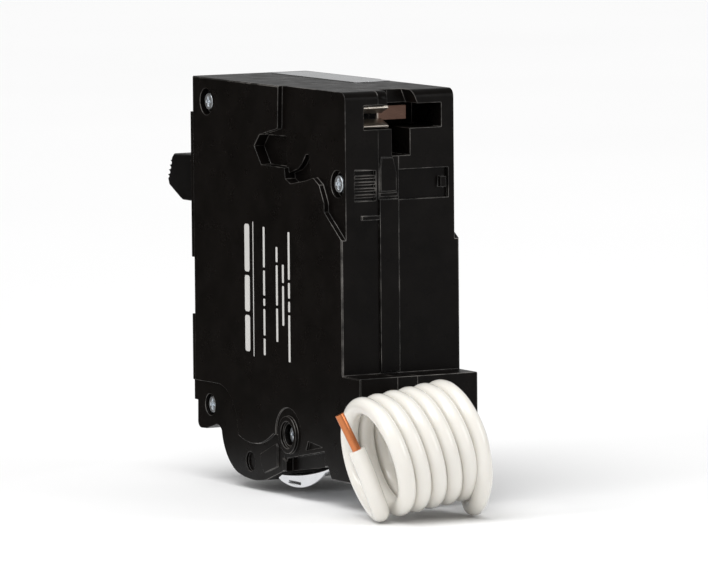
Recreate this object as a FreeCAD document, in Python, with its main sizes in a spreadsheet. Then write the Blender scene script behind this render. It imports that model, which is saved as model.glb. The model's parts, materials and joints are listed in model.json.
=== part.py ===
"""One-pole ground-fault circuit breaker with a coiled neutral lead, as separate pieces.

Frame: +Z runs from the load end (rail hook, wire terminals) to the line end (stab jaw),
+Y runs from the front (handle, test button) to the back that faces the panel, and +X
points out of the label side.  The origin lies on the back plane, midway across the
width, level with the lowest point of the load end.  Lengths are in millimetres.
"""
import FreeCAD, Part
import math
import os
import re
import Sketcher

os.makedirs("parts", exist_ok=True)
doc = FreeCAD.newDocument("gfci_breaker")

# ----------------------------------------------------------------- driving dimensions

DIMENSIONS = {
    # moulded case
    "case_half": 12.7, "case_depth": 60.3, "case_height": 76.8,
    "cover_seam": 4.6, "base_seam": 0.3, "partition_x": 1.5,
    "cover_inner": 10.2, "base_inner": 10.7, "rim": 1.8,
    "narrow_step": 1.0, "lobe_sunk": 0.5, "edge_round": 0.2, "narrow_end": 48.6,
    "panel_rise": 1.3,
    "foot_out": 6.8, "foot_top": 23.4, "foot_floor": 3.2,
    "stab_top": 74.2, "stab_floor": 69.6, "stab_depth": 11.5,
    "stab_plus": 7.7, "stab_minus": 9.0, "stem_plus": 1.7, "stem_minus": 2.2,
    "stem_floor": 64.5,
    # case screws
    "screw_shank": 1.1, "screw_head": 1.6, "screw_hole": 1.25, "boss": 2.6,
    "screw_sink": 1.3, "screw_end": 2.0,
    # handle
    "handle_y": 51.3, "handle_z": 59.5, "handle_low": 2.3, "handle_high": 9.8,
    "paddle_high": 11.0, "shield_out": 9.5, "shield_in": 8.0, "hub": 2.9,
    "pin_bore": 1.25, "pin": 1.2,
    # test button
    "button_x": 6.4, "button_z": 55.5, "button_half_x": 2.6, "button_half_z": 3.4,
    "button_out": 1.9, "button_gap": 0.25,
    # terminals
    "lug_front": 50.0, "lug_back": 40.5, "lug_low": 14.0, "lug_high": 24.0,
    "wire_y": 44.5, "wire_bore": 2.4, "load_x": 6.0, "neutral_x": 5.4,
    "lug_half": 3.5, "terminal_z": 19.5, "terminal_shank": 1.9, "terminal_head": 2.9,
    # contact arm, pivots and trip group
    "arm_low": 4.6, "arm_high": 7.4, "contact_x": 6.0, "contact_radius": 1.3, "contact_thick": 0.9,
    "pivot_pin": 1.0, "pivot_bore": 1.05, "toggle_x": 2.95, "toggle_y": 34.6,
    "yoke_low": 34.0, "yoke_high": 42.0,
    # sensor, solenoid and board
    "sensor_x": 5.2, "sensor_y": 27.0, "conductor_radius": 0.8, "conductor_apart": 1.05,
    "solenoid_x": 4.4, "solenoid_y": 30.0, "board_back": 9.9, "board_front": 8.5, "part_seat": 8.45,
    # small outside parts
    "label_thick": 0.12, "clip_out": 12.0, "clip_in": 9.6,
    # neutral lead
    "lead_radius": 1.67, "copper_radius": 0.85, "coil_radius": 10.0,
    "coil_turns": 6.0, "coil_x": -0.92, "coil_y": 20.0, "coil_z": 12.66,
    "pitch_x": 3.368, "pitch_y": 0.116, "pitch_z": -0.449,
    "exit_x": -7.0, "exit_z": 12.0,
}

sheet = doc.addObject("Spreadsheet::Sheet", "Dims")
for row, (word, value) in enumerate(DIMENSIONS.items(), start=1):
    sheet.set(f"A{row}", word)
    sheet.set(f"B{row}", str(value))
    sheet.setAlias(f"B{row}", word)
doc.recompute()


def formula(text):
    """A formula over the sheet's aliases, as an expression that any object can use."""
    return re.sub(r"\b[a-z]\w*", r"Dims.\g<0>", str(text))


def number(text):
    """The value of a formula now, worked out in a spare cell of the sheet."""
    sheet.set("D1", "=" + str(text))
    sheet.recompute()
    return float(sheet.get("D1"))


# ----------------------------------------------------------------------- shape helpers

subparts = []


def keep(shape_object, label):
    """Marks an object as one of the finished sub-parts."""
    shape_object.Label = label
    subparts.append(shape_object)
    return shape_object


def box(x, y, z):
    """A block between two formulas along each axis."""
    block = doc.addObject("Part::Box", "block")
    for side, (low, high) in zip(("Length", "Width", "Height"), (x, y, z)):
        block.setExpression(side, formula(f"({high}) - ({low})"))
    for axis, (low, _) in zip("xyz", (x, y, z)):
        block.setExpression(f"Placement.Base.{axis}", formula(low))
    return block


TURN = {
    "x": FreeCAD.Rotation(FreeCAD.Vector(0, 1, 0), 90),
    "y": FreeCAD.Rotation(FreeCAD.Vector(1, 0, 0), -90),
    "z": FreeCAD.Rotation(),
}


def rod(axis, radius, start, end, u, v):
    """A cylinder along an axis from start to end; u and v place it on the other two."""
    cylinder = doc.addObject("Part::Cylinder", "rod")
    cylinder.Placement = FreeCAD.Placement(FreeCAD.Vector(), TURN[axis])
    cylinder.setExpression("Radius", formula(radius))
    cylinder.setExpression("Height", formula(f"({end}) - ({start})"))
    across = [name for name in "xyz" if name != axis]
    cylinder.setExpression(f"Placement.Base.{axis}", formula(start))
    cylinder.setExpression(f"Placement.Base.{across[0]}", formula(u))
    cylinder.setExpression(f"Placement.Base.{across[1]}", formula(v))
    return cylinder


def fuse(*pieces, refine=True):
    result = doc.addObject("Part::MultiFuse", "joined")
    result.Shapes = list(pieces)
    result.Refine = refine
    return result


def cut(base, *tools):
    """The base less all the tools, taken away in one step."""
    result = doc.addObject("Part::Cut", "cut")
    result.Base = base
    result.Tool = tools[0] if len(tools) == 1 else fuse(*tools, refine=False)
    return result


def plane(body, role):
    return next(item for item in body.Origin.OriginFeatures if item.Role == role)


def add_sketch(body, role, offset, outline):
    """A closed outline on an origin plane, shifted along its normal by a formula.

    Each point is (u, v) in formulas.  A third entry makes the side that starts there an
    arc, and is the (u, v) of a point on it.  Every corner is held by its own dimensions.
    """
    sketch = body.newObject("Sketcher::SketchObject", "outline")
    sketch.AttachmentSupport = (plane(body, role), [""])
    sketch.MapMode = "FlatFace"
    sketch.setExpression("AttachmentOffset.Base.z", formula(offset))
    corners = [FreeCAD.Vector(number(p[0]), number(p[1]), 0) for p in outline]
    for index, point in enumerate(outline):
        start, end = corners[index], corners[(index + 1) % len(corners)]
        if len(point) == 3:
            middle = FreeCAD.Vector(number(point[2][0]), number(point[2][1]), 0)
            side = sketch.addGeometry(Part.Arc(start, middle, end), False)
        else:
            side = sketch.addGeometry(Part.LineSegment(start, end), False)
            for kind, vertex, word in (("DistanceX", start.x, point[0]), ("DistanceY", start.y, point[1])):
                held = sketch.addConstraint(Sketcher.Constraint(kind, -1, 1, side, 1, vertex))
                sketch.setExpression(f"Constraints[{held}]", formula(word))
    return sketch


def add_pad(body, sketch, length):
    pad = body.newObject("PartDesign::Pad", "pad")
    pad.Profile = sketch
    pad.setExpression("Length", formula(length))
    return pad


def prism(role, offset, length, outline):
    """A body with one outline padded along its plane's normal."""
    body = doc.addObject("PartDesign::Body", "prism")
    add_pad(body, add_sketch(body, role, offset, outline), length)
    return body


def side_prism(x, outline):
    """An outline in (Y, Z), padded between two X formulas."""
    return prism("YZ_Plane", x[0], f"({x[1]}) - ({x[0]})", outline)


# ------------------------------------------------------------------------ case outline

CASE_OUTLINE = [
    ("-1.6", "case_height"),
    ("-case_depth", "case_height"),
    ("-case_depth", "9.7", ("-59.9", "8.5")),
    ("-58.7", "8.1"),
    ("-56.6", "8.2"),
    ("-53.3", "9.1", ("-51.4", "9.2")),
    ("-50.4", "8.4", ("-47.9", "3.4")),
    ("-43.8", "0.8", ("-38.2", "0.0")),
    ("-31.8", "0.6"),
    ("-25.5", "2.7"),
    ("-6.3", "5.5"),
    ("-4.9", "foot_floor"),
    ("foot_out - 1.2", "foot_floor"),
    ("foot_out", "foot_floor + 1.2"),
    ("foot_out", "foot_top"),
    ("0", "foot_top"),
    ("0", "case_height - 1.6", ("-0.47", "case_height - 0.47")),
]
CAVITY_OUTLINE = [
    ("-13.0", "case_height - rim"),
    ("-case_depth + rim", "case_height - rim"),
    ("-case_depth + rim", "16.6"),
    ("-57.4", "15.8"),
    ("-57.4", "11.2"),
    ("-47.6", "11.2"),
    ("-45.6", "7.4"),
    ("-41.6", "3.4"),
    ("-31.5", "3.2"),
    ("-26.0", "5.2"),
    ("-8.0", "8.0"),
    ("-1.8", "9.5"),
    ("-1.8", "62.4"),
    ("-13.0", "62.4"),
]
SCREW_PLACES = [("-54.5", "72.1"), ("-3.2", "59.4"), ("-55.0", "13.0"), ("-22.0", "10.2")]
SEAT_LIFTS = ["0.7", "0", "0.2", "0"]
SEAT_RADII = ["2.6", "2.6", "screw_head + 0.5", "screw_head + 0.5"]
ARM_PIVOT = ("-36", "47")
CRADLE_PIVOT = ("-38", "64")
LEVER_PIVOT = ("-38", "56")
UPPER_STEP = [
    ("1.0", "case_height + 1"),
    ("-24.8", "case_height + 1"),
    ("-25.2", "68.6"),
    ("-32.6", "67.0"),
    ("-34.8", "64.7"),
    ("-32.0", "61.3"),
    ("-22.6", "61.3"),
    ("-22.2", "59.2"),
    ("-20.2", "58.4"),
    ("-14.0", "59.4"),
    ("-11.0", "60.1"),
    ("-8.7", "58.9"),
    ("-6.8", "55.6"),
    ("-6.8", "53.9"),
    ("1.0", "narrow_end - 0.4"),
]
LOBE_SINK = [
    ("-62.0", "17.4"),
    ("-51.5", "17.5", ("-45.4", "15.3")),
    ("-43.0", "11.1"),
    ("-42.5", "8.3", ("-36.4", "7.2")),
    ("-28.2", "9.8"),
    ("-25.0", "9.6"),
    ("-24.4", "7.8"),
    ("-24.4", "-2.0"),
    ("-62.0", "-2.0"),
]
FAR_STEP = [
    ("1.0", "case_height + 1"),
    ("-30.0", "case_height + 1"),
    ("-30.0", "62.0"),
    ("-14.0", "57.0"),
    ("1.0", "narrow_end - 1"),
]


def front_panels(x):
    """The two raised fields of the front, the width of one shell."""
    upper = box(x, ("-case_depth - panel_rise", "-case_depth + 0.2"), ("41.4", "69.8"))
    lower = box(x, ("-case_depth - panel_rise", "-case_depth + 0.2"), ("13.5", "30.3"))
    return upper, lower


def bosses(x):
    return [rod("x", "boss", x[0], x[1], y, z) for y, z in SCREW_PLACES]


def screw_holes(x, radius):
    return [rod("x", radius, x[0], x[1], y, z) for y, z in SCREW_PLACES]


def stab_slot():
    """The T-shaped opening of the back: a cross bar and the stem below it."""
    bar = box(("-stab_minus", "stab_plus"), ("-stab_depth", "1"), ("stab_floor", "stab_top"))
    stem = box(("-stem_minus", "stem_plus"), ("-stab_depth + 3", "1"), ("stem_floor", "stab_floor + 0.1"))
    notch = prism("XZ_Plane", "-1", "5.5", [
        ("2.6", "stab_top - 0.1"), ("2.6", "case_height + 1"),
        ("-2.4", "case_height + 1"), ("-3.9", "stab_top - 0.1"),
    ])
    return bar, stem, notch


def wire_way(x):
    """The wire entry of one terminal and the driver hole in front of its screw."""
    entry = rod("z", "wire_bore + 0.5", "-1", "lug_low - 0.5", x, "-wire_y")
    driver = rod("y", "terminal_head + 0.4", "-case_depth - 2", "-case_depth + 4", x, "terminal_z")
    return entry, driver


JAW_PASS = box(("2.6", "7.5"), ("-14", "-stab_depth + 0.1"), ("70.2", "73.6"))
HANDLE_SLOT = box(("2.0", "11.3"), ("-case_depth - 2", "-case_depth + 2.2"), ("51.2", "69.6"))
BUTTON_HOLE = box(
    ("-button_x - button_half_x - button_gap", "-button_x + button_half_x + button_gap"),
    ("-case_depth - 2", "-case_depth + 2.2"),
    ("button_z - button_half_z - button_gap", "button_z + button_half_z + button_gap"),
)


def cover_details():
    """What is cut into and added on the label side of the cover."""
    outside = "case_half - narrow_step"
    step = side_prism((outside, "case_half + 1"), UPPER_STEP)
    vent_front = side_prism(("case_half - 2.2", "case_half + 1"), [
        ("-32.6", "67.0"), ("-23.4", "67.2"), ("-23.4", "61.3"), ("-32.0", "61.3"), ("-34.8", "64.7"),
    ])
    vent_back = side_prism(("case_half - 2.2", "case_half + 1"), [
        ("-22.4", "60.25"), ("-22.2", "59.2"), ("-20.2", "58.4"), ("-14.0", "59.4"), ("-13.9", "61.2"),
        ("-14.6", "64.3"), ("-15.7", "64.2"), ("-17.4", "62.3"), ("-18.8", "61.3"),
    ])
    rail_pocket = side_prism(("case_half - 1.5", "case_half + 1"), [
        ("-22.9", "5.6"), ("-7.4", "8.4"), ("-7.2", "2.0"), ("-23.0", "2.0"),
    ])
    wedge = side_prism(("case_half - 0.5", "case_half + 1"), [
        ("-14.0", "9.7"), ("-14.8", "7.9"), ("-8.4", "9.1"),
    ])
    blind_hole = rod("x", "1.9", "case_half - 1.1", "case_half + 1", "-38.4", "3.5")
    lobe_sink = side_prism(("case_half - lobe_sunk", "case_half + 1"), LOBE_SINK)
    ring_sink = rod("x", "5.2", "case_half - 0.3", "case_half + 1", *SCREW_PLACES[3])
    return step, vent_front, vent_back, rail_pocket, wedge, blind_hole, lobe_sink, ring_sink


def counterbores():
    """The sunk seats of the four screw heads, with the narrowed upper part allowed for."""
    return [
        rod("x", radius, f"case_half - narrow_step - screw_sink + {lift}", "case_half + 1", y, z)
        for (y, z), lift, radius in zip(SCREW_PLACES, SEAT_LIFTS, SEAT_RADII)
    ]


# -------------------------------------------------------------------------- case pieces

LEAD_BORE = rod("y", "lead_radius + 0.25", "-4", "foot_out + 1", "exit_x", "exit_z")
FERRULE_SEAT = rod("y", "2.8", "foot_out - 2", "foot_out + 1", "exit_x", "exit_z")


def outer_slab(seam, side):
    """A slab of the case from a seam to a side face whose edges are bevelled all round."""
    flat = f"{side} * (case_half - edge_round)"
    body = side_prism((seam, flat) if side > 0 else (flat, seam), CASE_OUTLINE)
    doc.recompute()
    rim = max(body.Shape.Faces, key=lambda face: side * face.CenterOfMass.x).OuterWire
    inset = rim.makeOffset2D(-sheet.get("edge_round"), 2)
    inset.translate(FreeCAD.Vector(side * sheet.get("edge_round"), 0, 0))
    bevel = doc.addObject("Part::Feature", "bevel")
    bevel.Shape = Part.makeLoft([rim, inset], True, True)
    return fuse(body, bevel)


def make_cover():
    slab = outer_slab("cover_seam", 1)
    hollow = side_prism(("cover_seam - 1", "cover_inner"), CAVITY_OUTLINE)
    x = ("cover_seam", "case_half - edge_round")
    solid = fuse(
        cut(slab, hollow),
        *bosses(("cover_seam", "cover_inner + 0.5")),
        *front_panels(x),
        rod("x", "2.2", "9.3", "cover_inner + 0.5", "-handle_y", "handle_z"),
        box(("cover_seam", "8.4"), ("-0.5", "0.45"), ("52.6", "53.4")),
    )
    back_recess = box(("5.2", "9.8"), ("-0.8", "1"), ("56.2", "61.9"))
    ribs = [
        box(("5.2", "9.6"), ("-0.9", "-0.3"), (f"{56.8 + 1.2 * i}", f"{57.4 + 1.2 * i}"))
        for i in range(4)
    ]
    sunk = cut(
        solid,
        *stab_slot(),
        HANDLE_SLOT,
        *wire_way("load_x"),
        *cover_details(),
        *counterbores(),
        *screw_holes(("cover_seam - 1", "case_half"), "screw_hole"),
        JAW_PASS,
        rod("x", "pin + 0.02", "8", "cover_inner + 1", "-handle_y", "handle_z"),
        back_recess,
    )
    ring = cut(
        rod("x", "3.6", "case_half - 0.7", "case_half + 0.3", *SCREW_PLACES[3]),
        rod("x", "2.6", "case_half - 0.8", "case_half + 1", *SCREW_PLACES[3]),
    )
    pad = side_prism(("case_half - 0.8", "case_half - 0.15"), [
        ("-33.6", "3.6"), ("-33.9", "5.4"), ("-27.4", "8.0"),
        ("-26.8", "7.4"), ("-26.9", "3.6"), ("-32.4", "1.8"),
    ])
    return keep(fuse(sunk, ring, pad, *ribs), "cover_shell")


def make_middle():
    slab = side_prism(("base_seam", "cover_seam"), CASE_OUTLINE)
    hollow = side_prism(("partition_x", "cover_seam + 1"), CAVITY_OUTLINE)
    x = ("base_seam", "cover_seam")
    spine = box(("base_seam + 0.3", "cover_seam"), ("-0.5", "0.5"), ("foot_top + 0.4", "56.4"))
    block = prism("XZ_Plane", "-0.45", "0.95", [
        ("1.0", "57.9"), ("1.0", "61.4"), ("1.7", "64.2"), ("4.1", "64.2"), ("4.4", "62.2"), ("4.4", "57.9"),
    ])
    lip = box(("0.7", "4.5"), ("-0.5", "0.3"), ("56.9", "57.6"))
    solid = fuse(cut(slab, hollow), *bosses(x), *front_panels(x), spine, block, lip)
    pins = [
        rod("x", "pin + 0.02", "0", "2", "-handle_y", "handle_z"),
        rod("x", "1.02", "0", "2", *ARM_PIVOT),
        rod("x", "1.02", "0", "2", *CRADLE_PIVOT),
    ]
    conductor_window = box(("0", "2"), ("-34", "-26"), ("12.5", "15.5"))
    return keep(cut(
        solid,
        *stab_slot(),
        HANDLE_SLOT,
        *wire_way("load_x"),
        *screw_holes(("0", "5"), "screw_hole"),
        JAW_PASS,
        conductor_window,
        *pins,
    ), "middle_shell")


def make_base():
    slab = outer_slab("base_seam", -1)
    hollow = side_prism(("-base_inner", "base_seam + 1"), CAVITY_OUTLINE)
    x = ("-case_half + edge_round", "base_seam")
    peg = box(("-9.8", "-8.6"), ("-0.9", "0.3"), ("58.2", "60.2"))
    solid = fuse(cut(slab, hollow), *bosses(("-base_inner - 0.5", "base_seam")), *front_panels(x))
    sunk = cut(
        solid,
        *stab_slot(),
        BUTTON_HOLE,
        *wire_way("-neutral_x"),
        *screw_holes(("-screw_end - 4", "base_seam + 1"), "screw_shank + 0.05"),
        side_prism(("-case_half - 1", "-case_half + narrow_step"), FAR_STEP),
        box(("-10.4", "base_seam + 1"), ("-0.8", "1"), ("56.2", "61.9")),
        LEAD_BORE,
        FERRULE_SEAT,
    )
    return keep(fuse(sunk, peg), "base_shell")


def make_case_screws():
    """Four cross-recess screws, from the cover through the middle shell into the base."""
    solids = []
    for (y, z), lift in zip(SCREW_PLACES, SEAT_LIFTS):
        head_base = f"case_half - narrow_step - screw_sink + {lift} + 0.02"
        head_top = f"{head_base} + 1.08"
        screw = fuse(
            rod("x", "screw_head", head_base, head_top, y, z),
            rod("x", "screw_shank", "-screw_end", f"{head_base} + 0.2", y, z),
        )
        recess = [
            box((f"{head_top} - 0.6", f"{head_top} + 1"),
                (f"{y} - {a}", f"{y} + {a}"), (f"{z} - {b}", f"{z} + {b}"))
            for a, b in ((1.0, 0.26), (0.26, 1.0))
        ]
        solids.append(cut(screw, *recess))
    group = doc.addObject("Part::Compound", "screws")
    group.Links = solids
    return keep(group, "case_screws")


# ------------------------------------------------------------------ handle and mechanism


def make_handle():
    """The rocking handle: hub, curved shield that closes the slot, and outer paddle."""
    y, z = "-handle_y", "handle_z"
    shield_ring = cut(
        rod("x", "shield_out", "handle_low", "handle_high", y, z),
        rod("x", "shield_in", "handle_low - 1", "handle_high + 1", y, z),
    )
    front_half = box(("0", "12"), ("-case_depth - 3", "-handle_y - 5.0"), ("40", "80"))
    shield = doc.addObject("Part::Common", "shield")
    shield.Base = shield_ring
    shield.Tool = front_half
    web = box(("4.2", "7.8"), ("-handle_y - 8.4", "-handle_y - 2"), ("handle_z - 2", "handle_z + 2"))
    neck = side_prism(("handle_low", "handle_high"), [
        ("-59.9", "61.6"), ("-62.4", "61.3"), ("-62.4", "52.1"), ("-59.9", "54.2"),
    ])
    paddle = side_prism(("handle_low", "paddle_high"), [
        ("-62.0", "61.3"), ("-71.8", "60.9"), ("-72.7", "60.1"), ("-74.4", "55.8"),
        ("-74.0", "54.6"), ("-69.4", "52.4"), ("-68.4", "52.0"), ("-62.0", "52.0"),
    ])
    lever = side_prism(("4.6", "7.4"), [
        ("-52.6", "58.5"), ("-50.0", "58.5"), ("-49.6", "51.6"), ("-51.4", "51.6"),
    ])
    hub = rod("x", "hub", "handle_low", "9.0", y, z)
    whole = fuse(hub, shield, web, neck, paddle, lever)
    grips = [
        box(("handle_low - 1", "paddle_high + 1"), (f"{-74.6 + 0.36 * i}", f"{-73.9 + 0.36 * i}"),
            (f"{55.9 + 0.95 * i}", f"{56.35 + 0.95 * i}"))
        for i in range(4)
    ]
    return keep(cut(whole, rod("x", "pin_bore", "0", "12", y, z), *grips), "handle")


def make_handle_pin():
    return keep(rod("x", "pin", "0.5", "10.6", "-handle_y", "handle_z"), "handle_pin")


def make_contact_arm():
    """The moving contact's arm, drawn open, with its hub on the arm pin."""
    arm = side_prism(("arm_low", "arm_high"), [
        ("-37.2", "48.0"), ("-31.6", "63.4"), ("-30.2", "62.8"), ("-34.6", "46.2"),
    ])
    hub = rod("x", "2.3", "arm_low", "arm_high", *ARM_PIVOT)
    return keep(cut(fuse(arm, hub), rod("x", "pivot_bore", "4", "8", *ARM_PIVOT)), "contact_arm")


def contact_tip(label, centre, degrees):
    """A round contact tip whose axis lies in the YZ plane, at an angle from +Y."""
    disc = doc.addObject("Part::Cylinder", "disc")
    disc.setExpression("Radius", formula("contact_radius"))
    disc.setExpression("Height", formula("contact_thick"))
    tilt = FreeCAD.Rotation(FreeCAD.Vector(1, 0, 0), -90 + degrees)
    spot = FreeCAD.Vector(sheet.get("contact_x"), number(centre[0]), number(centre[1]))
    disc.Placement = FreeCAD.Placement(spot, tilt)
    return keep(disc, label)


def make_contacts():
    """The moving tip on the open arm, and the fixed tip where the closed arm meets it."""
    contact_tip("moving_contact", ("-30.05", "60.6"), -17)
    contact_tip("fixed_contact", ("-22.55", "54.45"), 130)


def make_line_strap():
    """The conductor from the stab jaw down to the seat of the fixed contact."""
    return keep(side_prism(("4.4", "7.4"), [
        ("-24.9", "52.5"), ("-17.6", "58.6"), ("-17.6", "72.4"), ("-11.05", "72.4"),
        ("-11.05", "71.4"), ("-16.6", "71.4"), ("-16.6", "58.16"), ("-24.26", "51.73"),
    ]), "line_strap")


def make_line_jaw():
    """The sprung jaw that grips the panel's stab: flared lips, and the brace beside them."""
    jaw = side_prism(("1.9", "7.3"), [
        ("-11.0", "70.2"), ("-6.0", "70.5"), ("-3.6", "70.85"), ("-0.9", "69.75"), ("-0.7", "70.25"),
        ("-3.5", "71.4"), ("-6.2", "71.05"), ("-10.4", "70.8"), ("-10.4", "73.0"), ("-6.2", "72.75"),
        ("-3.5", "72.4"), ("-0.7", "73.55"), ("-0.9", "74.05"), ("-3.6", "72.95"), ("-6.0", "73.3"),
        ("-11.0", "73.6"),
    ])
    brace = box(("-4.2", "2.2"), ("-5.6", "-5.0"), ("70.9", "73.7"))
    return keep(fuse(jaw, brace), "line_jaw")


def make_arc_plates():
    plates = [
        box(("2.2", "9.5"), ("-32.5", "-20.5"), (f"{65.2 + 2.6 * i}", f"{66.0 + 2.6 * i}"))
        for i in range(4)
    ]
    group = doc.addObject("Part::Compound", "plates")
    group.Links = plates
    return keep(group, "arc_plates")


def make_cradle():
    """The latched lever that a trip lets go."""
    plate = side_prism(("8.0", "9.2"), [
        ("-40.4", "66.2"), ("-36.2", "66.2"), ("-31.0", "57.0"), ("-28.0", "50.6"),
        ("-30.0", "50.2"), ("-34.6", "57.0"), ("-40.4", "61.8"),
    ])
    return keep(cut(plate, rod("x", "pivot_bore", "7", "10", *CRADLE_PIVOT)), "cradle")


def make_pins():
    keep(rod("x", "pivot_pin", "0.6", "9.9", *ARM_PIVOT), "arm_pin")
    keep(rod("x", "pivot_pin", "0.6", "9.9", *CRADLE_PIVOT), "cradle_pin")


def make_toggle_spring():
    """The over-centre spring on the contact arm, as its outer shape."""
    return keep(cut(
        rod("z", "1.3", "50.0", "57.0", "toggle_x", "-toggle_y"),
        rod("z", "0.8", "49.0", "58.0", "toggle_x", "-toggle_y"),
    ), "toggle_spring")


def make_trip_group():
    """Bimetal strip, magnet yoke round it, and the armature plate that the yoke pulls."""
    keep(box(("4.4", "7.6"), ("-20.4", "-19.5"), ("25.6", "47.0")), "bimetal")
    yoke = cut(
        box(("2.8", "9.2"), ("-22.4", "-18.0"), ("yoke_low", "yoke_high")),
        box(("3.8", "8.2"), ("-23.0", "-18.8"), ("yoke_low - 1", "yoke_high + 1")),
    )
    keep(yoke, "magnet_yoke")
    armature = cut(
        box(("3.4", "8.6"), ("-24.8", "-24.0"), ("29.8", "48.4")),
        box(("5.0", "7.0"), ("-25.0", "-23.0"), ("44.0", "46.4")),
    )
    keep(fuse(armature, rod("x", "0.6", "3.4", "8.6", "-24.4", "30.0")), "armature")
    keep(box(("4.2", "7.8"), ("-47.0", "-19.2"), ("24.1", "25.5")), "load_strap")
    keep(side_prism(("2.5", "3.9"), [
        ("-37.4", "44.2"), ("-36.2", "44.0"), ("-33.8", "34.0"), ("-28.4", "29.0"),
        ("-21.0", "29.0"), ("-21.0", "28.0"), ("-28.8", "28.0"), ("-34.8", "33.4"),
    ]), "flexible_braid")


# ---------------------------------------------------------------------------- terminals


def make_lug(x, label):
    low, high = f"{x} - lug_half", f"{x} + lug_half"
    block = box((low, high), ("-lug_front", "-lug_back"), ("lug_low", "lug_high"))
    return keep(cut(
        block,
        rod("z", "wire_bore", "lug_low - 1", "lug_high + 1", x, "-wire_y"),
        rod("y", "terminal_shank + 0.1", "-lug_front - 1", "-wire_y", x, "terminal_z"),
    ), label)


def make_terminal_screw(x, label):
    head = rod("y", "terminal_head", "-57.8", "-55.2", x, "terminal_z")
    shank = rod("y", "terminal_shank", "-55.4", "-47.3", x, "terminal_z")
    slot = box((f"{x} - 3", f"{x} + 3"), ("-58", "-56.8"), ("terminal_z - 0.45", "terminal_z + 0.45"))
    cross = box((f"{x} - 0.45", f"{x} + 0.45"), ("-58", "-56.8"), ("terminal_z - 2", "terminal_z + 2"))
    return keep(cut(fuse(head, shank), slot, cross), label)


# --------------------------------------------------------- ground-fault sensing and trip


def make_sensor():
    """The current sensor: a ring core inside its winding, with both conductors through it."""
    x, y = "-sensor_x", "-sensor_y"
    core = cut(rod("z", "4.1", "17", "21", x, y), rod("z", "3.1", "16", "22", x, y))
    keep(core, "sensor_core")
    winding = cut(
        rod("z", "4.9", "16", "22", x, y),
        rod("z", "2.3", "15", "23", x, y),
        cut(rod("z", "4.2", "16.9", "21.1", x, y), rod("z", "3.0", "16", "22", x, y)),
    )
    keep(winding, "sensor_winding")
    keep(rod("z", "conductor_radius", "12.4", "23.4", f"{x} - conductor_apart", y), "line_conductor")
    keep(rod("z", "conductor_radius", "12.4", "24.4", f"{x} + conductor_apart", y), "neutral_conductor")
    keep(box(("-6.8", "-3.2"), ("-46.6", "-26.0"), ("24.4", "25.6")), "neutral_strap")


def make_solenoid():
    """The trip coil on its bobbin and frame, with the plunger and its return spring."""
    x, y = "-solenoid_x", "-solenoid_y"
    bobbin = cut(
        fuse(rod("z", "1.9", "36", "46", x, y), rod("z", "3.5", "36", "36.8", x, y),
             rod("z", "3.5", "45.2", "46", x, y)),
        rod("z", "1.45", "35", "47", x, y),
    )
    keep(bobbin, "solenoid_bobbin")
    keep(cut(rod("z", "3.2", "36.9", "45.1", x, y), rod("z", "2.0", "36", "46", x, y)), "solenoid_winding")
    frame = cut(
        box(("-7.9", "-0.1"), ("-33.6", "-26.4"), ("35.1", "46.9")),
        box(("-9", "-0.8"), ("-34", "-26"), ("35.9", "46.1")),
        rod("z", "1.5", "46", "48", x, y),
    )
    keep(frame, "solenoid_frame")
    plunger = fuse(rod("z", "1.35", "38.4", "50.4", x, y), rod("z", "2.2", "50.2", "51.2", x, y))
    keep(plunger, "plunger")
    keep(cut(rod("z", "2.1", "47.0", "50.1", x, y), rod("z", "1.55", "46", "51", x, y)), "plunger_spring")
    lever = side_prism(("-6.0", "-2.8"), [
        ("-39.6", "57.6"), ("-37.0", "57.9"), ("-26.4", "53.0"), ("-26.4", "51.3"),
        ("-29.9", "51.3"), ("-33.4", "53.2"), ("-39.6", "54.6"),
    ])
    keep(cut(lever, rod("x", "pivot_bore", "-8", "0", *LEVER_PIVOT)), "trip_lever")
    keep(rod("x", "pivot_pin", "-8.3", "0.25", *LEVER_PIVOT), "lever_pin")


def make_electronics():
    """The circuit board and what stands on it."""
    keep(box(("-board_back", "-board_front"), ("-50", "-14"), ("29", "61.5")), "circuit_board")
    keep(rod("x", "3.0", "-part_seat", "-1.6", "-44.5", "36.5"), "capacitor")
    keep(rod("x", "3.6", "-part_seat", "-5.9", "-20.0", "54.0"), "varistor")
    keep(box(("-part_seat", "-7.1"), ("-24.0", "-17.0"), ("36.0", "42.0")), "control_chip")
    keep(box(("-part_seat", "-4.6"), ("-49.0", "-44.5"), ("42.5", "48.5")), "thyristor")
    resistors = doc.addObject("Part::Compound", "resistors")
    resistors.Links = [rod("z", "0.8", "42", "48", "-7.55", f"{-42.5 + 2.4 * i}") for i in range(3)]
    keep(resistors, "resistors")


def make_test_button():
    """The sprung test button in the front, its spring and the blade that it presses."""
    x = ("-button_x - button_half_x", "-button_x + button_half_x")
    z = ("button_z - button_half_z", "button_z + button_half_z")
    stem = box(x, ("-case_depth - panel_rise - button_out", "-58.3"), z)
    flange = box(
        ("-button_x - 3.4", "-button_x + 3.4"), ("-58.4", "-57.4"),
        ("button_z - button_half_z - 0.9", "button_z + button_half_z + 0.9"),
    )
    keep(fuse(stem, flange), "test_button")
    keep(cut(
        rod("y", "1.9", "-55.8", "-52.3", "-button_x", "button_z"),
        rod("y", "1.4", "-58", "-52", "-button_x", "button_z"),
    ), "button_spring")
    keep(box(("-8.4", "-4.4"), ("-52.2", "-51.4"), ("button_z - 5", "button_z + 3")), "test_blade")


# ------------------------------------------------------------------- outside small parts


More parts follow.
